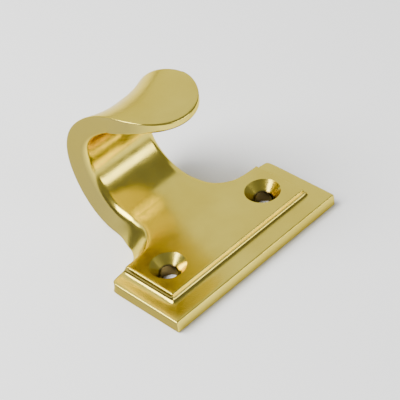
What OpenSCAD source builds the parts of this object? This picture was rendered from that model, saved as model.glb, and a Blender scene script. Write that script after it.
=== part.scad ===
// Hook sash lift: one brass casting that screws to the bottom rail of a sliding
// sash. A stepped base plate carries a curled finger hook with a rounded lip.
// The origin is the middle of the two screw holes on the flat back. X runs along
// the plate, Y towards the hook, and Z out of the rail.

/* [Base plate] */
// Length of the plate along the sash rail
plate_length = 50; // [44:0.5:70]
// Depth of the plate at its top, from the straight edge to the rear edge
plate_depth = 19.6; // [18:0.1:26]
// Thickness of the lower tier of the plate
plate_thickness = 3; // [2.4:0.1:5]
// Radius of the two plate corners beside the hook
corner_radius = 1.2; // [0.4:0.1:3]
// How far the foot of the rear wall stands out past its top
wall_draft = 2.2; // [0.5:0.1:2.6]

/* [Raised tier] */
// Height of the raised tier above the lower tier
tier_height = 1.7; // [1.2:0.1:2.6]
// Margin of lower tier left at each end of the plate
tier_end_margin = 4.2; // [2.5:0.1:5]
// Margin of lower tier left along the straight edge
tier_front_margin = 5.2; // [2.5:0.1:6]
// Radius of the cove moulding round the foot of the raised tier
cove_radius = 0.7; // [0.3:0.1:1.1]

/* [Screw holes] */
// Distance between the two screw holes
hole_spacing = 30; // [26:0.5:50]
// Distance from the straight edge to the line of the holes
hole_from_edge = 12.3; // [10.5:0.1:14]
// Diameter of each through hole
hole_diameter = 4.1; // [3:0.1:5]
// Diameter of the countersink at the face of the plate
countersink_diameter = 7.5; // [6:0.1:9]
// Included angle of the countersink
countersink_angle = 90; // [80:1:100]
// Width of the eased rim around the countersink
rim_width = 0.25; // [0.1:0.05:0.5]

/* [Hook] */
// Width of the hook at its neck
neck_width = 18.8; // [14:0.1:24]
// Radius of the scallop between the plate and the neck, at the top
scallop_radius = 8; // [6:0.1:11]
// Distance from the straight edge to the centre of the outer bend
bend_centre = 31.4; // [29:0.1:40]
// Radius of the outside of the bend
bend_outer_radius = 15.2; // [13.5:0.1:18]
// Radius of the inside of the bend
bend_inner_radius = 11; // [9:0.1:12.5]
// Setback of the inner bend's centre from the outer bend's centre
bend_offset = 1.9; // [1:0.1:3]
// Depth of the hollow in the outer face, at the far point of the bend
bend_hollow = 1.9; // [1:0.1:2.2]
// Depth of the hollow where the bend runs into the lip
neck_hollow = 2.4; // [1.2:0.1:2.6]
// Depth of the hollow at the top of the lip
lip_hollow = 1; // [0.6:0.1:1.4]

/* [Lip] */
// Width of the hook across its lip
lip_width = 20.4; // [16:0.1:26]
// Distance from the straight edge to the tip of the lip
lip_tip = 16.7; // [13:0.1:19]
// Radius of the lip's outer face, seen from the side
lip_outer_radius = 25.4; // [24:0.2:32]
// Radius of the lip's underside, seen from the side
lip_inner_radius = 25; // [23:0.2:30]
// Angle at which the outer bend runs into the lip
outer_blend_angle = 40; // [34:1:44]
// Angle at which the inner bend runs into the lip
inner_blend_angle = 42; // [38:1:46]

/* [Hidden] */
$fn = 96;
brass = [0.78, 0.69, 0.42];
overlap = 1;
reach = 100;
quarter_turn = 90;
floor_height = plate_thickness + tier_height;
plate_half = plate_length / 2;
foot_depth = plate_depth + wall_draft;
neck_half = neck_width / 2;
lip_half = lip_width / 2;
scallop_x = neck_half + scallop_radius;
scallop_y = plate_depth + scallop_radius;
countersink_depth = (countersink_diameter - hole_diameter) / 2 / tan(countersink_angle / 2);
rim_diameter = countersink_diameter + 2 * rim_width;
outer_bend = [bend_centre, bend_outer_radius];
inner_bend = [bend_centre - bend_offset, floor_height + bend_inner_radius];
outer_lip = outer_bend
    - (lip_outer_radius - bend_outer_radius) * [cos(outer_blend_angle), sin(outer_blend_angle)];
inner_lip = inner_bend
    - (lip_inner_radius - bend_inner_radius) * [cos(inner_blend_angle), sin(inner_blend_angle)];
lip_top = outer_lip.y + lip_outer_radius;
// The outer face is hollowed by a saddle: a circle across the hook, swept along an
// arc that passes each of the three depths.
saddle_radius = (lip_half * lip_half + neck_hollow * neck_hollow) / (2 * neck_hollow);
saddle_start = -60;
half_turn = 180;
bend_point = outer_bend + [bend_outer_radius - bend_hollow, 0];
blend_point = outer_bend
    + (bend_outer_radius - neck_hollow) * [cos(outer_blend_angle), sin(outer_blend_angle)];
lip_point = [outer_lip.x, lip_top - lip_hollow];
saddle_centre = arc_centre(bend_point, blend_point, lip_point);
saddle_arc = norm(blend_point - saddle_centre);

// Centre of the circle through three points of a side profile.
function arc_centre(a, b, c) =
    let (
        ab = b - a,
        bc = c - b,
        ab_mid = (a * a - b * b) / 2,
        bc_mid = (b * b - c * c) / 2,
        det = ab.x * bc.y - ab.y * bc.x
    )
    [
        (ab.y * bc_mid - bc.y * ab_mid) / det,
        (bc.x * ab_mid - ab.x * bc_mid) / det
    ];

// Moves the design from the straight edge to the line of the screw holes.
module from_edge() translate([0, -hole_from_edge, 0]) children();

// Turns a side profile, drawn in the Y-Z plane, into a bar that lies along X.
module bar(width) {
    translate([-width / 2, 0, 0])
        rotate([quarter_turn, 0, quarter_turn])
            linear_extrude(width)
                children();
}

// The half plane that lies above a line through a point at a given angle.
module above(point, angle) {
    translate(point)
        rotate(angle)
            translate([-reach, 0])
                square([2 * reach, reach]);
}

// The plate from above, measured at its foot.
module foot_outline() {
    translate([-plate_half, 0])
        square([plate_length, foot_depth - corner_radius]);
    translate([-plate_half + corner_radius, 0])
        square([plate_length - 2 * corner_radius, foot_depth]);
    for (side = [-1, 1])
        translate([side * (plate_half - corner_radius), foot_depth - corner_radius])
            circle(corner_radius);
}

// The plate from the side, with its rear wall leaning in towards the top.
module plate_profile() {
    polygon([
        [0, 0],
        [foot_depth, 0],
        [plate_depth, floor_height],
        [0, floor_height]
    ]);
}

// Cross-section of the raised tier from its moulded edge inwards: an upright
// face that sweeps out through a cove at its foot.
module moulded_edge(length) {
    square([length, tier_height]);
    difference() {
        translate([-cove_radius, 0])
            square([cove_radius + overlap, cove_radius]);
        translate([-cove_radius, cove_radius])
            circle(cove_radius);
    }
}

module raised_tier() {
    tier_length = plate_length - 2 * tier_end_margin;
    tier_depth = foot_depth - tier_front_margin;
    translate([0, 0, plate_thickness])
        intersection() {
            translate([0, tier_front_margin, 0])
                bar(plate_length)
                    moulded_edge(tier_depth);
            translate([0, foot_depth, 0])
                rotate([quarter_turn, 0, 0])
                    linear_extrude(foot_depth)
                        for (side = [0, 1])
                            mirror([side, 0])
                                translate([-tier_length / 2, 0])
                                    moulded_edge(tier_length / 2 + overlap);
        }
}

module plate() {
    intersection() {
        union() {
            linear_extrude(plate_thickness)
                foot_outline();
            raised_tier();
        }
        bar(plate_length)
            plate_profile();
    }
}

module screw_hole() {
    translate([0, 0, -overlap])
        cylinder(h = floor_height + 2 * overlap, d = hole_diameter);
    translate([0, 0, floor_height - rim_width - countersink_depth])
        cylinder(h = countersink_depth, d1 = hole_diameter, d2 = countersink_diameter);
    translate([0, 0, floor_height - rim_width])
        cylinder(h = rim_width, d1 = countersink_diameter, d2 = rim_diameter);
    translate([0, 0, floor_height])
        cylinder(h = overlap, d = rim_diameter);
}

// Side profile of the hook's outer face: flat back, outer bend, then the lip.
module hook_outside() {
    intersection() {
        translate(outer_lip)
            circle(lip_outer_radius);
        above(outer_bend, outer_blend_angle);
    }
    translate(outer_bend)
        circle(bend_outer_radius);
    translate([plate_depth - overlap, 0])
        square([bend_centre - plate_depth + overlap, bend_outer_radius]);
}

// Side profile of the finger's space, open towards the straight edge.
module finger_space() {
    intersection() {
        translate(inner_lip)
            circle(lip_inner_radius);
        above(inner_bend, inner_blend_angle);
    }
    translate(inner_bend)
        circle(bend_inner_radius);
    translate([-reach, floor_height])
        square([reach + inner_bend.x, bend_inner_radius]);
}

// The root of the hook, scalloped on both sides down to the width of the neck.
module root() {
    difference() {
        translate([-scallop_x, plate_depth - overlap, 0])
            cube([2 * scallop_x, scallop_radius + overlap, floor_height]);
        for (side = [-1, 1])
            translate([side * scallop_x, scallop_y, 0])
                cylinder(h = floor_height, r1 = scallop_radius - wall_draft, r2 = scallop_radius);
    }
}

// The curled part seen from the front: drafted at the neck like the scallops,
// then wider up to the lip.
module front_outline() {
    polygon([
        [-neck_half - wall_draft, 0],
        [neck_half + wall_draft, 0],
        [neck_half, floor_height],
        [lip_half, outer_bend.y],
        [lip_half, lip_top + overlap],
        [-lip_half, lip_top + overlap],
        [-lip_half, outer_bend.y],
        [-neck_half, floor_height]
    ]);
}

// The curled part seen from above, with the rounded end of the lip.
module lip_outline() {
    lip_round = lip_tip + lip_half;
    translate([0, lip_round])
        circle(lip_half);
    translate([-lip_half, lip_round])
        square([lip_width, reach]);
}

module curl() {
    intersection() {
        translate([0, reach, 0])
            rotate([quarter_turn, 0, 0])
                linear_extrude(reach)
                    front_outline();
        union() {
            translate([-reach, scallop_y, 0])
                cube([2 * reach, reach, floor_height]);
            translate([0, 0, floor_height])
                linear_extrude(lip_top)
                    lip_outline();
        }
    }
}

module saddle() {
    translate([0, saddle_centre.x, saddle_centre.y])
        rotate([0, quarter_turn, 0])
            rotate([0, 0, saddle_start + quarter_turn])
                rotate_extrude(angle = half_turn)
                    translate([saddle_arc + saddle_radius, 0])
                        circle(saddle_radius);
}

module hook() {
    difference() {
        intersection() {
            bar(2 * scallop_x)
                difference() {
                    hook_outside();
                    finger_space();
                }
            union() {
                root();
                curl();
            }
        }
        saddle();
    }
}

module sash_lift() {
    color(brass)
        from_edge()
            difference() {
                union() {
                    plate();
                    hook();
                }
                for (side = [-1, 1])
                    translate([side * hole_spacing / 2, hole_from_edge, 0])
                        screw_hole();
            }
}

sash_lift();
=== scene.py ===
"""Hook sash lift: one polished brass casting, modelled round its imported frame."""

from math import cos, pi, radians, sin, sqrt

import bmesh
import bpy
from bpy.props import FloatProperty, FloatVectorProperty, PointerProperty
from mathutils import Matrix, Vector


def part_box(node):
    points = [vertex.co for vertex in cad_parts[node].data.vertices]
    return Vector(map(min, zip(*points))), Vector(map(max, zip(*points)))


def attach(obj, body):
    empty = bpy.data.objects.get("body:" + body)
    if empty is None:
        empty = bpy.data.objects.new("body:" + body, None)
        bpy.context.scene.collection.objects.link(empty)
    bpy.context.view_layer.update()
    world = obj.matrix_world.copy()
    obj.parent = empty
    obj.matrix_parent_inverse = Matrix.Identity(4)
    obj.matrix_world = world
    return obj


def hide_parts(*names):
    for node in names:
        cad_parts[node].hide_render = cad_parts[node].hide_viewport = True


bl_info = {
    "name": "Hook Sash Lift",
    "version": (1, 0, 0),
    "blender": (4, 5, 0),
    "location": "View3D > Sidebar > Sash Lift",
    "description": "Models a polished brass hook sash lift, its floor, lights and camera",
    "category": "Object",
}

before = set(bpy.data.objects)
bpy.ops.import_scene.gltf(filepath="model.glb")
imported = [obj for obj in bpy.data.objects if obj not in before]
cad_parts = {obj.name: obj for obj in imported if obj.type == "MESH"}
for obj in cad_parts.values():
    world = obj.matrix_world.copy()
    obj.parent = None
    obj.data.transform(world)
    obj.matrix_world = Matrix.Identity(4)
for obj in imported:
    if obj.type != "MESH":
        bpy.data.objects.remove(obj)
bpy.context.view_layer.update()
NODE = "sash_lift"
LOW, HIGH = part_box(NODE)
FRONT = LOW.y
MM = 0.001
TOLERANCE = 0.01 * MM
QUARTER_TURN = pi / 2

# The cage has HOOK_COLUMNS columns of faces on each side of the middle of the hook.
HOOK_COLUMNS = 5
SCALLOP_STEPS = 6
NECK_STEPS = 2
BEND_STEPS = 11
LIP_STEPS = 9
CUTTER_SIDES = 96
SUBDIVISIONS = 3
BEVEL_SEGMENTS = 2
SMOOTH_ANGLE = radians(32)

# The plate's cage is cut behind the tier's front edge, through the holes and before the
# rear edge, so that subdivision keeps its top flat.
CUT_BEHIND_TIER_EDGE = 3.5 * MM
CUT_AT_HOLES = 12.3 * MM
CUT_BEFORE_REAR = 3.4 * MM

# Share of the rear corner's setback that is left at the top of the lower tier.
SETBACK_AT_TIER = 0.2
# Share of the neck's flare that is lost by the end of the scallop.
FLARE_LOSS = 0.3
# Share of the bend's length over which its faces widen.
WIDENING = 0.6
# Power by which the hollow of the outer face grows round the bend. More starts it later.
HOLLOW_POWER = 1.5
# Columns past this share of the half width are the lip's sides, and stand out by only part
# of what the others do.
SIDE_COLUMN = 0.99
SIDE_STAND_OUT = 0.5
# A face looks up or to the rear when its normal's part that way is over these.
UPWARDS = 0.9
REARWARDS = 0.5

# Edges that turn by less than this stay as they are.
SHARP_TURN = radians(28)
# An edge runs along the hook's inner or outer face when both its ends are within this share
# of the wall's thickness of it.
FACE_SHARE = 0.1
# An edge is on the plate's end when it is this near to it, and upright when it rises this far.
END_BAND = 0.1 * MM
UPRIGHT_RISE = 0.5 * MM
# Upright edges further than this from the straight edge are the corners beside the hook.
REAR_CORNERS_FROM = 10 * MM

# How far the hole's cutter stands out of the back and of the face.
CUTTER_BELOW = 1 * MM
CUTTER_ABOVE = 0.5 * MM

# Patterns in the brass: waves to the metre, detail and roughness of each noise.
CLOUDS = {"scale": 90.0, "detail": 4.0}
WIPE_MARKS = {"scale": 260.0, "detail": 5.0, "roughness": 0.6}
SWELL = {"scale": 70.0, "detail": 1.0}
POLISHING_LINES = {"scale": 1.0, "stretch": (700, 9000, 9000), "detail": 2.0}
SIDE_LINES = {"scale": 1.0, "stretch": (2000, 450, 3800), "detail": 2.0}

# Parts of each pattern that are spread out over its effect, and the effect on the roughness.
CLOUD_SPAN = (0.35, 0.7)
MARK_SPAN = (0.3, 0.7)
WIPE_ROUGHNESS = (-0.04, 0.05)
LINE_ROUGHNESS = (-0.03, 0.03)
# Sideways share of the surface's normal where the painted shade of the linished sides begins and is
# full.
SIDE_SPAN = (0.6, 0.95)
# The painted shade's fade: outwards from the bore, towards the tier, off the cove's foot, and to its
# upper edge, measured up from the lower tier and down from the top.
BORE_FADE = (0.05 * MM, 0.35 * MM)
TIER_FADE = 0.1 * MM
COVE_FOOT = (0.05 * MM, 0.3 * MM)
COVE_TOP = (0.7 * MM, 0.35 * MM)
SWELL_STRENGTH, SWELL_HEIGHT = 0.35, 0.15 * MM
SCRATCH_STRENGTH = 0.25

# Sockets of a Mix node that have no name of their own.
NUMBER_A, NUMBER_B = 2, 3
COLOUR_A, COLOUR_B, COLOUR_OUT = 6, 7, 2

# Name, place, width and height of each softbox, and the property that holds its brightness.
SOFTBOXES = (
    ("overhead_box", (-0.26, 0.2, 0.45), (0.4, 0.4), "overhead"),
    ("back_box", (0.4, 0.55, 0.4), (1.5, 0.85), "back"),
    ("front_box", (0.24, -0.6, 0.24), (0.5, 0.18), "front"),
)
SOFTBOX_AIM = Vector((0, 0.01, 0.015))
ROOM_COLOUR = (0.93, 0.96, 1.0)
FLOOR_SIZE = 4
FLOOR_DROP = 0.05 * MM
FLOOR_ROUGHNESS = 0.9
SENSOR_WIDTH = 36
NEAR_CLIP = 0.01


def length(name, default, description):
    """A size in metres, given in millimetres."""
    return FloatProperty(
        name=name, description=description, default=default * MM, min=0.0, unit="LENGTH"
    )


def angle(name, default, description):
    """An angle in radians, given in degrees."""
    return FloatProperty(
        name=name, description=description, default=radians(default), unit="ROTATION"
    )


def share(name, default, description):
    """A part of a whole."""
    return FloatProperty(
        name=name, description=description, default=default, min=0.0, max=1.0, subtype="FACTOR"
    )


def brightness(name, default, description):
    return FloatProperty(name=name, description=description, default=default, min=0.0)


def colour(name, default, description):
    """A linear colour."""
    return FloatVectorProperty(
        name=name, description=description, default=default, subtype="COLOR",
        size=3, min=0.0, max=1.0,
    )


class CastingSizes(bpy.types.PropertyGroup):
    """Sizes of the casting. Depths are measured from the plate's straight edge."""

    plate_depth: length("Plate depth", 19.4, "Depth of the plate at its top")
    tier_base: length("Lower tier", 3.0, "Thickness of the lower tier")
    floor_height: length("Top of plate", 4.7, "Height of the raised tier's top")
    wall_draft: length("Wall draft", 2.3, "How far the rear wall's foot stands out")
    neck_draft: length("Neck draft", 2.3, "How much more the foot stands out at the neck")
    corner_setback: length("Corner setback", 1.4, "How far the rear corners' feet are set back")
    corner_radius: length("Corner radius", 1.5, "Radius of the corners beside the hook")
    end_margin: length("End margin", 4.2, "Lower tier left at each end")
    front_margin: length("Front margin", 5.2, "Lower tier left along the straight edge")
    cove_radius: length("Cove", 1.1, "Radius of the cove at the foot of the raised tier")
    hole_offset: length("Hole offset", 15.0, "Distance of each screw hole from the middle")
    bore_radius: length("Bore radius", 2.05, "Radius of each through hole")
    sink_radius: length("Countersink radius", 3.75, "Radius of each countersink")
    rim: length("Rim", 0.35, "Width of the eased rim round each countersink")
    scallop_radius: length("Scallop radius", 8.0, "Radius of the scallop at the top")
    neck_half: length("Neck", 9.4, "Half the width of the hook's inner face at the neck")
    bend_centre: length("Bend centre", 31.4, "Depth of the outer bend's centre")
    bend_outer: length("Outer bend", 15.2, "Radius of the outside of the bend")
    bend_inner: length("Inner bend", 11.0, "Radius of the inside of the bend")
    bend_offset: length("Bend offset", 1.9, "Setback of the inner bend's centre")
    bend_half: length("Bend width", 10.65, "Half the width of the outer face in the bend")
    lip_round: length("Lip end", 12.2, "Depth of the lip's rounded end")
    lip_half: length("Lip width", 10.4, "Half the width of the lip")
    lip_tip: length("Lip tip", 16.5, "Depth of the tip of the lip")
    lip_outer: length("Lip top radius", 26.0, "Radius of the lip's outer face")
    lip_inner: length("Lip underside radius", 25.0, "Radius of the lip's underside")
    hollow: length("Hollow", 2.5, "Deepest hollow of the outer face, across its width")
    edge: length("Crisp edge", 0.3, "Rounding of the crisp edges")
    front_edge: length("Front edge", 0.4, "Rounding of the lower tier's upper edges")
    bottom_edge: length("Bottom edge", 0.25, "Rounding of the edges against the sash")
    neck_edge: length("Neck edge", 0.9, "Rounding of the inner edges at the neck")
    lip_edge: length("Lip underside edge", 0.5, "Rounding of the lip's lower edge")
    outer_edge: length("Lip top edge", 0.4, "Rounding of the lip's upper edge")
    lip_taper: length("Lip taper", 0.1, "How much narrower the lip is on its underside")
    lip_flattening: FloatProperty(
        name="Lip flattening", description="How fast the hollow dies out towards the tip",
        default=0.9, min=0.0, max=2.0,
    )
    inner_edge: length("Worn edge", 1.5, "Rounding of the inner edges round the bend")
    outer_blend: angle("Outer blend", 40, "Where the outer bend runs into the lip")
    inner_blend: angle("Inner blend", 42, "Where the inner bend runs into the lip")


class BrassFinish(bpy.types.PropertyGroup):
    """Colours and surface of the polished brass, and the colours of the shade painted on it."""

    bright: colour("Bright brass", (0.74, 0.61, 0.10), "The brass where it is freshly polished")
    warm: colour("Warm brass", (0.68, 0.54, 0.075), "The brass where a faint tarnish warms it")
    # Painted shade: the darker colour painted on the faces that look along the plate, which are the
    # plate's ends and the hook's sides.
    linished_and_shaded_side: colour("Linished brass", (0.27, 0.22, 0.055), "The duller brass of the sides")
    grazing: colour("Grazing tint", (0.88, 0.78, 0.45), "Tint of the brass seen edge on")
    # Painted shade: the dark colour painted inside the bores and, by a share, into the cove's foot.
    recess_shade_colour: colour("Bore", (0.15, 0.11, 0.04), "The unpolished brass inside the bores")
    roughness: share("Roughness", 0.2, "Roughness of the polish")
    # Painted shade: the share of the dark colour painted into the cove's foot.
    cove_shade: share("Cove stain", 0.4, "How dark the cove's foot is")
    scratch_depth: length("Scratch depth", 0.004, "Depth of the polishing lines")


class StageLook(bpy.types.PropertyGroup):
    """Floor, light and camera."""

    floor: colour("Floor", (0.92, 0.92, 0.91), "Colour of the floor")
    overhead: brightness("Overhead", 16.0, "Overhead softbox")
    back: brightness("Back", 0.95, "Softbox behind the lift")
    front: brightness("Front", 6.5, "Softbox before the lift")
    room: brightness("Room", 0.25, "Light of the room")
    azimuth: angle("Azimuth", -40.59, "Camera's turn round the lift")
    elevation: angle("Elevation", 40.17, "Camera's height above the horizon")
    roll: angle("Roll", -8.52, "Camera's turn about its own axis")
    distance: length("Distance", 317.87, "From the camera to its aim")
    aim_x: FloatProperty(name="Aim X", description="Aim along the plate, from its middle",
                         default=7.98 * MM, unit="LENGTH")
    aim_depth: length("Aim depth", 25.65, "Aim from the straight edge")
    focal: FloatProperty(name="Focal length", description="In millimetres, on a 36 mm sensor",
                         default=126.0, min=1.0)


def sizes():
    return bpy.context.scene.sash_lift_sizes


def near(a, b):
    return abs(a - b) < TOLERANCE


def smooth(t):
    """An even ramp from 0 to 1 with level ends."""
    t = min(1.0, max(0.0, t))
    return t * t * (3 - 2 * t)


def on_circle(centre, radius, turn):
    return centre + radius * Vector((cos(turn), sin(turn)))


def bend_centres(s):
    """The centres of the outer and inner bend, as depth and height."""
    outer = Vector((FRONT + s.bend_centre, s.bend_outer))
    inner = Vector((outer.x - s.bend_offset, s.floor_height + s.bend_inner))
    return outer, inner


class Station:
    """One cross-section of the hook: the side-view places and half widths of its inner and
    outer faces, the depth of the hollow across its outer face, and its edge roundings."""

    def __init__(self, inner, outer, inner_half, outer_half, hollow, inner_edge, outer_edge):
        self.inner = Vector(inner)
        self.outer = Vector(outer)
        self.inner_half = inner_half
        self.outer_half = outer_half
        self.hollow = hollow
        self.inner_edge = inner_edge
        self.outer_edge = outer_edge

    def place(self, column, level):
        """The place of a cage point. Column runs from -1 to 1 across the hook, and level from
        0 on the outer face to 1 on the inner."""
        side = self.outer.lerp(self.inner, level)
        half = self.outer_half + (self.inner_half - self.outer_half) * level
        inward = (self.inner - self.outer).normalized()
        side = side + inward * self.hollow * (1 - column * column) * (1 - level) ** 2
        return Vector((half * column, side.x, side.y))


class LipStation:
    """A cross-section of the lip, bowed by a share towards its rounded end."""

    def __init__(self, s, share_of_lip):
        self.s = s
        self.share = share_of_lip
        self.inner_edge = s.inner_edge + (s.lip_edge - s.inner_edge) * smooth(self.share * 2)
        self.outer_edge = s.edge + (s.outer_edge - s.edge) * smooth(self.share * 2)
        outer_along = Vector((cos(s.outer_blend), sin(s.outer_blend)))
        inner_along = Vector((cos(s.inner_blend), sin(s.inner_blend)))
        outer_bend, inner_bend = bend_centres(s)
        self.outer_lip = outer_bend - (s.lip_outer - s.bend_outer) * outer_along
        self.inner_lip = inner_bend - (s.lip_inner - s.bend_inner) * inner_along
        self.outer_start = self.outer_lip + s.lip_outer * outer_along
        self.inner_start = self.inner_lip + s.lip_inner * inner_along

    def place(self, column, level):
        """The place of a cage point, with column and level as a Station has them."""
        s = self.s
        half = (s.bend_half + (s.lip_half - s.bend_half) * self.share) - s.lip_taper * level
        round_y = FRONT + s.lip_tip + s.lip_round
        # Subdivision draws a cage's arc inwards by a third of each column's rise over its
        # chord, so the cage stands out by as much.
        drawn = (1 - cos(QUARTER_TURN / HOOK_COLUMNS)) / 3
        part = 1 if abs(column) < SIDE_COLUMN else SIDE_STAND_OUT
        stand_out = 1 + drawn * part * self.share
        bowed = sin(column * QUARTER_TURN) * stand_out
        start = self.outer_start.x + (self.inner_start.x - self.outer_start.x) * level
        end = round_y - (s.lip_round - s.lip_taper * level) * cos(column * QUARTER_TURN) * stand_out
        x = half * (column + (bowed - column) * self.share)
        y = start + (end - start) * self.share
        outer_z = self.outer_lip.y + sqrt(s.lip_outer ** 2 - (y - self.outer_lip.x) ** 2)
        inner_z = self.inner_lip.y + sqrt(s.lip_inner ** 2 - (y - self.inner_lip.x) ** 2)
        along = (self.outer_start.x - y) / (self.outer_start.x - FRONT - s.lip_tip)
        hollow = s.hollow * max(0.0, 1 - s.lip_flattening * along)
        across = min(1.0, abs(x) / half)
        outer_z -= hollow * (1 - across ** 2) * (1 - level) ** 2
        return Vector((x, y, outer_z + (inner_z - outer_z) * level))


def scallop_stations(s):
    """Cross-sections down the two scallops, from the plate's rear edge to the neck."""
    scallop_x = s.neck_half + s.scallop_radius
    scallop_y = FRONT + s.plate_depth + s.scallop_radius
    for step in range(1, SCALLOP_STEPS + 1):
        turn = QUARTER_TURN * step / SCALLOP_STEPS
        flare = s.neck_draft * sqrt(sin(turn)) * (1 - FLARE_LOSS * step / SCALLOP_STEPS)
        foot_radius = s.scallop_radius - s.wall_draft - flare
        yield Station(
            (scallop_y - s.scallop_radius * cos(turn), s.floor_height),
            (scallop_y - foot_radius * cos(turn), 0.0),
            scallop_x - s.scallop_radius * sin(turn),
            scallop_x - foot_radius * sin(turn),
            0.0,
            s.edge + (s.neck_edge - s.edge) * smooth(turn / QUARTER_TURN),
            s.edge,
        )


def neck_stations(s):
    """Cross-sections along the flat neck, where the foot's flare dies out."""
    scallop_y = FRONT + s.plate_depth + s.scallop_radius
    outer_centre, inner_centre = bend_centres(s)
    for step in range(1, NECK_STEPS + 1):
        t = step / NECK_STEPS
        yield Station(
            (scallop_y + (inner_centre.x - scallop_y) * t, s.floor_height),
            (scallop_y + (outer_centre.x - scallop_y) * t, 0.0),
            s.neck_half,
            s.neck_half + s.wall_draft + (1 - FLARE_LOSS) * s.neck_draft * (1 - t),
            0.0,
            s.neck_edge,
            s.edge,
        )


def bend_stations(s):
    """Cross-sections round the bend, which widens and takes on its hollow."""
    neck_foot = s.neck_half + s.wall_draft
    outer_centre, inner_centre = bend_centres(s)
    for step in range(1, BEND_STEPS + 1):
        t = step / BEND_STEPS
        widened = smooth((t - (1 - WIDENING)) / WIDENING)
        yield Station(
            on_circle(inner_centre, s.bend_inner, -QUARTER_TURN + (QUARTER_TURN + s.inner_blend) * t),
            on_circle(outer_centre, s.bend_outer, -QUARTER_TURN + (QUARTER_TURN + s.outer_blend) * t),
            s.neck_half + (s.bend_half - s.lip_taper - s.neck_half) * widened,
            neck_foot + (s.bend_half - neck_foot) * smooth(t / WIDENING),
            s.hollow * sin(QUARTER_TURN * t) ** HOLLOW_POWER,
            s.neck_edge + (s.inner_edge - s.neck_edge) * smooth(2 * t),
            s.edge,
        )


def stations(s):
    """The hook's cross-sections from the plate's rear edge to the tip of the lip."""
    lip = [LipStation(s, step / LIP_STEPS) for step in range(1, LIP_STEPS + 1)]
    return [*scallop_stations(s), *neck_stations(s), *bend_stations(s), *lip]


def select_only(mesh, kind, wanted):
    """Selects the vertices, edges or faces of an edited mesh that pass a test, and no others."""
    bpy.ops.mesh.select_all(action="DESELECT")
    bpy.ops.mesh.select_mode(type={"verts": "VERT", "edges": "EDGE", "faces": "FACE"}[kind])
    edit = bmesh.from_edit_mesh(mesh)
    for element in getattr(edit, kind):
        if wanted(element):
            element.select_set(True)
    edit.select_flush_mode()
    bmesh.update_edit_mesh(mesh)


def cut(axis, places):
    """Cuts the whole cage by planes square to an axis."""
    for place in places:
        bpy.ops.mesh.select_all(action="SELECT")
        bpy.ops.mesh.bisect(plane_co=axis * place, plane_no=axis)


def add_plate_cage(s):
    """The two tiers: a cube at its size, cut into columns, with the raised tier extruded."""
    bpy.ops.mesh.primitive_cube_add(
        size=1,
        location=((LOW.x + HIGH.x) / 2, FRONT + s.plate_depth / 2, s.tier_base / 2),
        scale=(HIGH.x - LOW.x, s.plate_depth, s.tier_base),
    )
    cage = bpy.context.object
    cage.name = "cast_lift"
    bpy.ops.object.transform_apply(location=True, rotation=True, scale=True)
    bpy.ops.object.mode_set(mode="EDIT")
    tier_end = HIGH.x - s.end_margin
    tier_front = FRONT + s.front_margin
    scallop_x = s.neck_half + s.scallop_radius
    columns = [scallop_x * k / HOOK_COLUMNS for k in range(HOOK_COLUMNS + 1)] + [tier_end]
    cut(Vector((1, 0, 0)), columns + [-x for x in columns if x])
    cut(Vector((0, 1, 0)), (
        tier_front,
        tier_front + CUT_BEHIND_TIER_EDGE,
        FRONT + CUT_AT_HOLES,
        FRONT + s.plate_depth - CUT_BEFORE_REAR,
    ))

    def on_tier(face):
        middle = face.calc_center_median()
        inside = abs(middle.x) < tier_end + TOLERANCE and middle.y > tier_front - TOLERANCE
        return face.normal.z > UPWARDS and inside

    select_only(cage.data, "faces", on_tier)
    bpy.ops.mesh.extrude_region_move(
        TRANSFORM_OT_translate={"value": (0, 0, s.floor_height - s.tier_base)}
    )
    return cage


def lean_rear_wall(cage, s):
    """Draws the rear wall's foot outwards, so that the wall leans in towards the top, and
    sets the feet of its two corners back."""
    rear = FRONT + s.plate_depth
    for height in (0.0, s.tier_base):
        select_only(
            cage.data, "verts", lambda v: near(v.co.y, rear) and near(v.co.z, height)
        )
        lean = s.wall_draft * (1 - height / s.floor_height)
        bpy.ops.transform.translate(value=(0, lean, 0))
    for height, setback in (
        (0.0, s.corner_setback),
        (s.tier_base, SETBACK_AT_TIER * s.corner_setback),
    ):
        select_only(
            cage.data, "verts",
            lambda v: near(abs(v.co.x), HIGH.x) and v.co.y > rear - TOLERANCE
            and near(v.co.z, height),
        )
        bpy.ops.transform.translate(value=(0, -setback, 0))


def extrude_hook(cage, s, rows):
    """Extrudes the middle of the rear wall, one cross-section at a time, to the lip's tip."""
    scallop_x = s.neck_half + s.scallop_radius
    rear = FRONT + s.plate_depth

    def in_middle(face):
        middle = face.calc_center_median()
        on_wall = face.normal.y > REARWARDS and middle.y > rear - TOLERANCE
        return on_wall and abs(middle.x) < scallop_x

    select_only(cage.data, "faces", in_middle)
    edit = bmesh.from_edit_mesh(cage.data)
    column = edit.verts.layers.float.new("column")
    level = edit.verts.layers.float.new("level")
    edit.verts.layers.int.new("row")
    for v in edit.verts:
        if v.select:
            v[column] = v.co.x / scallop_x
            v[level] = v.co.z / s.floor_height
    bmesh.update_edit_mesh(cage.data)
    for number, row in enumerate(rows, 1):
        bpy.ops.mesh.extrude_region()
        edit = bmesh.from_edit_mesh(cage.data)
        column = edit.verts.layers.float["column"]
        level = edit.verts.layers.float["level"]
        row_number = edit.verts.layers.int["row"]
        for v in edit.verts:
            if v.select:
                v.co = row.place(v[column], v[level])
                v[row_number] = number
        bmesh.update_edit_mesh(cage.data)


def plate_rounding(e, s):
    """The rounding of one of the plate's edges."""
    a, b = (v.co for v in e.verts)
    middle = (a + b) / 2
    on_end = abs(middle.x) > HIGH.x - END_BAND
    if abs(a.z - b.z) > UPRIGHT_RISE and on_end and middle.y > FRONT + REAR_CORNERS_FROM:
        return s.corner_radius
    if max(a.z, b.z) < TOLERANCE:
        return s.bottom_edge
    if not e.is_convex:
        return s.cove_radius
    on_rim = near(middle.y, FRONT) or (on_end and near(a.z, b.z))
    return s.front_edge if near(middle.z, s.tier_base) and on_rim else s.edge


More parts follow.
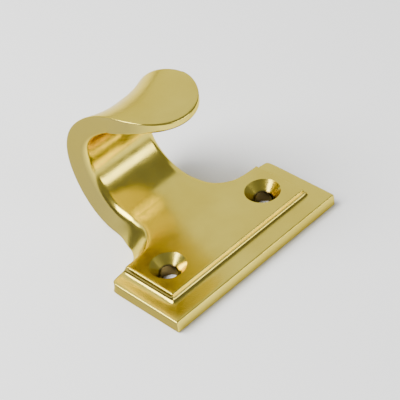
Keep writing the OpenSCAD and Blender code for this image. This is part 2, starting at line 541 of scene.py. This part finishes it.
def weigh_edges(cage, s, rows):
    """Gives every edge that is rounded its bevel width, as a share of the widest one."""
    edit = bmesh.from_edit_mesh(cage.data)
    weight = edit.edges.layers.float.new("bevel_weight_edge")
    level = edit.verts.layers.float["level"]
    row_number = edit.verts.layers.int["row"]
    for e in edit.edges:
        if len(e.link_faces) < 2 or e.calc_face_angle(0) < SHARP_TURN:
            continue
        number = max(v[row_number] for v in e.verts)
        levels = [v[level] for v in e.verts]
        rounding = 0.0
        if number == 0:
            rounding = plate_rounding(e, s)
        elif min(levels) > 1 - FACE_SHARE:
            rounding = rows[number - 1].inner_edge
        elif max(levels) < FACE_SHARE:
            rounding = rows[number - 1].outer_edge
        e[weight] = rounding / s.inner_edge
    bmesh.update_edit_mesh(cage.data)


def apply(thing, kind, **settings):
    """Adds a modifier, sets it and applies it."""
    modifier = thing.modifiers.new(kind.title(), kind)
    for key, value in settings.items():
        setattr(modifier, key, value)
    bpy.context.view_layer.objects.active = thing
    bpy.ops.object.modifier_apply(modifier=modifier.name)


def countersink_cutter(s, side):
    """A plug of the bore, the countersink and its eased rim, extruded upwards in steps."""
    rim_foot = s.floor_height - s.rim
    steps = (
        (s.bore_radius, rim_foot - (s.sink_radius - s.bore_radius)),
        (s.sink_radius, rim_foot),
        (s.sink_radius + s.rim + CUTTER_ABOVE, s.floor_height + CUTTER_ABOVE),
    )
    bpy.ops.object.select_all(action="DESELECT")
    bpy.ops.mesh.primitive_cylinder_add(
        vertices=CUTTER_SIDES, radius=s.bore_radius, depth=CUTTER_BELOW,
        location=(side * s.hole_offset, 0, -CUTTER_BELOW / 2),
    )
    cutter = bpy.context.object
    bpy.ops.object.transform_apply(location=True, rotation=True, scale=True)
    bpy.ops.object.mode_set(mode="EDIT")
    select_only(cutter.data, "faces", lambda f: f.normal.z > UPWARDS)
    radius, height = s.bore_radius, 0.0
    for next_radius, next_height in steps:
        bpy.ops.mesh.extrude_region_move(
            TRANSFORM_OT_translate={"value": (0, 0, next_height - height)}
        )
        growth = next_radius / radius
        bpy.ops.transform.resize(
            value=(growth, growth, 1), center_override=(side * s.hole_offset, 0, next_height)
        )
        radius, height = next_radius, next_height
    bpy.ops.object.mode_set(mode="OBJECT")
    return cutter


def cut_holes(casting, s):
    for side in (-1, 1):
        cutter = countersink_cutter(s, side)
        bpy.ops.object.select_all(action="DESELECT")
        apply(casting, "BOOLEAN", operation="DIFFERENCE", solver="EXACT", object=cutter)
        bpy.data.objects.remove(cutter)


class SASHLIFT_OT_casting(bpy.types.Operator):
    """Models the whole lift as one casting: plate, moulded tier, screw holes, hook and lip"""

    bl_idname = "sash_lift.casting"
    bl_label = "Casting"

    def execute(self, context):
        s = sizes()
        bpy.ops.object.select_all(action="DESELECT")
        cage = add_plate_cage(s)
        lean_rear_wall(cage, s)
        rows = stations(s)
        extrude_hook(cage, s, rows)
        weigh_edges(cage, s, rows)
        bpy.ops.object.mode_set(mode="OBJECT")
        apply(cage, "BEVEL", limit_method="WEIGHT", width=s.inner_edge,
              segments=BEVEL_SEGMENTS, use_clamp_overlap=False, loop_slide=True)
        apply(cage, "SUBSURF", levels=SUBDIVISIONS, render_levels=SUBDIVISIONS)
        cut_holes(cage, s)
        bpy.context.view_layer.objects.active = cage
        cage.select_set(True)
        bpy.ops.object.shade_smooth_by_angle(angle=SMOOTH_ANGLE)
        cage.data.materials.clear()
        cage.data.materials.append(brass(context.scene.sash_lift_brass))
        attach(cage, "root")
        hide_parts(NODE)
        return {"FINISHED"}


class Surface:
    """A material, and short ways to add nodes to it. A value is a number or a socket."""

    def __init__(self, name):
        self.material = bpy.data.materials.new(name)
        self.material.use_nodes = True
        self.nodes = self.material.node_tree.nodes
        self.shader = self.nodes["Principled BSDF"]

    def put(self, socket, value):
        if isinstance(value, bpy.types.NodeSocket):
            self.material.node_tree.links.new(value, socket)
        else:
            socket.default_value = value

    def coordinates(self, output):
        return self.nodes.new("ShaderNodeTexCoord").outputs[output]

    def split(self, vector):
        """The X, Y and Z of a vector."""
        node = self.nodes.new("ShaderNodeSeparateXYZ")
        self.put(node.inputs["Vector"], vector)
        return node.outputs

    def math(self, operation, *values):
        node = self.nodes.new("ShaderNodeMath")
        node.operation = operation
        for socket, value in zip(node.inputs, values):
            self.put(socket, value)
        return node.outputs["Value"]

    def noise(self, place, scale, stretch=(1, 1, 1), detail=3.0, roughness=0.5):
        mapping = self.nodes.new("ShaderNodeMapping")
        mapping.inputs["Scale"].default_value = stretch
        self.put(mapping.inputs["Vector"], place)
        texture = self.nodes.new("ShaderNodeTexNoise")
        for socket, value in (("Vector", mapping.outputs["Vector"]), ("Scale", scale),
                              ("Detail", detail), ("Roughness", roughness)):
            self.put(texture.inputs[socket], value)
        return texture.outputs["Fac"]

    def spread(self, value, span, result=(0.0, 1.0)):
        """Spreads a span of the value over a span of results, and holds it past the ends."""
        node = self.nodes.new("ShaderNodeMapRange")
        for socket, number in (("Value", value), ("From Min", span[0]), ("From Max", span[1]),
                               ("To Min", result[0]), ("To Max", result[1])):
            self.put(node.inputs[socket], number)
        return node.outputs["Result"]

    def tint(self, base, other, amount):
        """Mixes another colour into the base by an amount."""
        node = self.nodes.new("ShaderNodeMix")
        node.data_type = "RGBA"
        for socket, value in (("Factor", amount), (COLOUR_A, base), (COLOUR_B, other)):
            self.put(node.inputs[socket], value)
        return node.outputs[COLOUR_OUT]

    def bump(self, height, strength, depth, under=None):
        node = self.nodes.new("ShaderNodeBump")
        for socket, value in (("Strength", strength), ("Distance", depth), ("Height", height)):
            self.put(node.inputs[socket], value)
        if under is not None:
            self.put(node.inputs["Normal"], under)
        return node.outputs["Normal"]


def painted_recess_shade(surface, place, finish):
    """How much shade is painted on the brass: fully inside the bores, and partly in the cove."""
    s = sizes()
    x, y, z = surface.split(place)
    from_middle = surface.math("ABSOLUTE", x)
    from_hole = surface.math("SUBTRACT", from_middle, s.hole_offset)
    from_axis = surface.math("SQRT", surface.math(
        "ADD",
        surface.math("MULTIPLY", from_hole, from_hole),
        surface.math("MULTIPLY", y, y),
    ))
    in_bore = surface.spread(
        from_axis, [s.bore_radius + fade for fade in BORE_FADE], (1.0, 0.0)
    )
    past_tier = surface.math(
        "MAXIMUM",
        surface.math("SUBTRACT", from_middle, HIGH.x - s.end_margin),
        surface.math("SUBTRACT", FRONT + s.front_margin, y),
    )
    beside_tier = surface.spread(past_tier, (-TIER_FADE, 0.0))
    above_foot = surface.spread(z, [s.tier_base + height for height in COVE_FOOT])
    cove_top = (s.tier_base + COVE_TOP[0], s.floor_height - COVE_TOP[1])
    below_edge = surface.spread(z, cove_top, (1.0, 0.0))
    in_cove = surface.math(
        "MULTIPLY", beside_tier, surface.math("MULTIPLY", above_foot, below_edge)
    )
    return surface.math(
        "MAXIMUM", in_bore, surface.math("MULTIPLY", in_cove, finish.cove_shade)
    )


def brass(finish):
    """Polished brass: fine polishing lines, faint cloudy tarnish and a soft satin, with shade painted
    on its sides, in its bores and in its cove.
    """
    surface = Surface("polished_brass")
    shader = surface.shader
    shader.inputs["Metallic"].default_value = 1.0
    shader.inputs["Specular Tint"].default_value = (*finish.grazing, 1)
    place = surface.coordinates("Object")
    facing = surface.split(surface.coordinates("Normal"))
    # Painted shade: the faces that look along the plate, the ends and the hook's sides, take the
    # darker colour of painted shade. The same mask gives them their linishing lines.
    linished_and_shaded_side = surface.spread(surface.math("ABSOLUTE", facing["X"]), SIDE_SPAN)

    clouds = surface.spread(surface.noise(place, **CLOUDS), CLOUD_SPAN)
    base = surface.tint((*finish.bright, 1), (*finish.warm, 1), clouds)
    base = surface.tint(base, (*finish.linished_and_shaded_side, 1), linished_and_shaded_side)
    # Painted shade: the bores and the cove's foot are darkened.
    base = surface.tint(base, (*finish.recess_shade_colour, 1), painted_recess_shade(surface, place, finish))
    surface.put(shader.inputs["Base Color"], base)

    lines = surface.noise(place, **POLISHING_LINES)
    polish = [finish.roughness + change for change in WIPE_ROUGHNESS]
    surface.put(shader.inputs["Roughness"], surface.math(
        "ADD",
        surface.spread(surface.noise(place, **WIPE_MARKS), MARK_SPAN, polish),
        surface.spread(lines, MARK_SPAN, LINE_ROUGHNESS),
    ))

    scratches = surface.nodes.new("ShaderNodeMix")
    surface.put(scratches.inputs["Factor"], linished_and_shaded_side)
    surface.put(scratches.inputs[NUMBER_A], lines)
    surface.put(scratches.inputs[NUMBER_B], surface.noise(place, **SIDE_LINES))
    swell = surface.bump(surface.noise(place, **SWELL), SWELL_STRENGTH, SWELL_HEIGHT)
    surface.put(shader.inputs["Normal"], surface.bump(
        scratches.outputs["Result"], SCRATCH_STRENGTH, finish.scratch_depth, swell
    ))
    return surface.material


def plain(name, base, rough):
    """A plain matt finish."""
    surface = Surface(name)
    surface.shader.inputs["Base Color"].default_value = (*base, 1)
    surface.shader.inputs["Roughness"].default_value = rough
    return surface.material


def add_floor(look):
    bpy.ops.object.select_all(action="DESELECT")
    bpy.ops.mesh.primitive_plane_add(size=FLOOR_SIZE, location=(0, 0, -FLOOR_DROP))
    floor = bpy.context.object
    floor.name = "floor"
    bpy.ops.object.transform_apply(location=True, rotation=True, scale=True)
    floor.data.materials.append(plain("pale_floor", look.floor, FLOOR_ROUGHNESS))


def softbox(name, place, size, strength):
    """A soft light of an even brightness that faces the lift."""
    data = bpy.data.lights.new(name, "AREA")
    data.shape = "RECTANGLE"
    data.size, data.size_y = size
    data.energy = strength * pi * size[0] * size[1]
    light = bpy.data.objects.new(name, data)
    light.location = place
    light.rotation_euler = (Vector(place) - SOFTBOX_AIM).to_track_quat("Z", "Y").to_euler()
    bpy.context.scene.collection.objects.link(light)


def light_room(look):
    scene = bpy.context.scene
    scene.world = scene.world or bpy.data.worlds.new("studio")
    scene.world.use_nodes = True
    background = scene.world.node_tree.nodes["Background"]
    background.inputs["Color"].default_value = (*ROOM_COLOUR, 1)
    background.inputs["Strength"].default_value = look.room


def add_camera(look):
    """Turns the camera round the lift, raises it, rolls it and stands it off its aim."""
    a, e, r = look.azimuth, look.elevation, look.roll
    back = Vector((sin(a) * cos(e), -cos(a) * cos(e), sin(e)))
    level = Vector((cos(a), sin(a), 0))
    upright = back.cross(level)
    right = cos(r) * level + sin(r) * upright
    up = -sin(r) * level + cos(r) * upright
    aim = Vector((look.aim_x, FRONT + look.aim_depth, 0))
    data = bpy.data.cameras.new("camera")
    data.lens = look.focal
    data.sensor_width = SENSOR_WIDTH
    data.clip_start = NEAR_CLIP
    camera = bpy.data.objects.new("camera", data)
    turn = Matrix((right, up, back)).transposed().to_4x4()
    camera.matrix_world = Matrix.Translation(aim + back * look.distance) @ turn
    bpy.context.scene.collection.objects.link(camera)
    bpy.context.scene.camera = camera


class SASHLIFT_OT_stage(bpy.types.Operator):
    """Lays the pale floor, hangs the soft lights and sets the camera"""

    bl_idname = "sash_lift.stage"
    bl_label = "Stage"

    def execute(self, context):
        look = context.scene.sash_lift_stage
        add_floor(look)
        for name, place, size, strength in SOFTBOXES:
            softbox(name, place, size, getattr(look, strength))
        light_room(look)
        add_camera(look)
        return {"FINISHED"}


class SASHLIFT_PT_panel(bpy.types.Panel):
    """Lists the operators and the sizes"""

    bl_idname = "SASHLIFT_PT_panel"
    bl_label = "Sash Lift"
    bl_space_type = "VIEW_3D"
    bl_region_type = "UI"
    bl_category = "Sash Lift"

    def draw(self, context):
        scene = context.scene
        for operator in (SASHLIFT_OT_casting, SASHLIFT_OT_stage):
            self.layout.operator(operator.bl_idname)
        for group in (scene.sash_lift_sizes, scene.sash_lift_brass, scene.sash_lift_stage):
            box = self.layout.box()
            for name in group.__annotations__:
                box.prop(group, name)


CLASSES = (
    CastingSizes, BrassFinish, StageLook,
    SASHLIFT_OT_casting, SASHLIFT_OT_stage, SASHLIFT_PT_panel,
)
GROUPS = {
    "sash_lift_sizes": CastingSizes,
    "sash_lift_brass": BrassFinish,
    "sash_lift_stage": StageLook,
}


def register():
    for cls in CLASSES:
        bpy.utils.register_class(cls)
    for name, group in GROUPS.items():
        setattr(bpy.types.Scene, name, PointerProperty(type=group))


def unregister():
    for name in GROUPS:
        delattr(bpy.types.Scene, name)
    for cls in reversed(CLASSES):
        bpy.utils.unregister_class(cls)


def main():
    register()
    bpy.ops.sash_lift.casting()
    bpy.ops.sash_lift.stage()


if __name__ == "__main__":
    main()
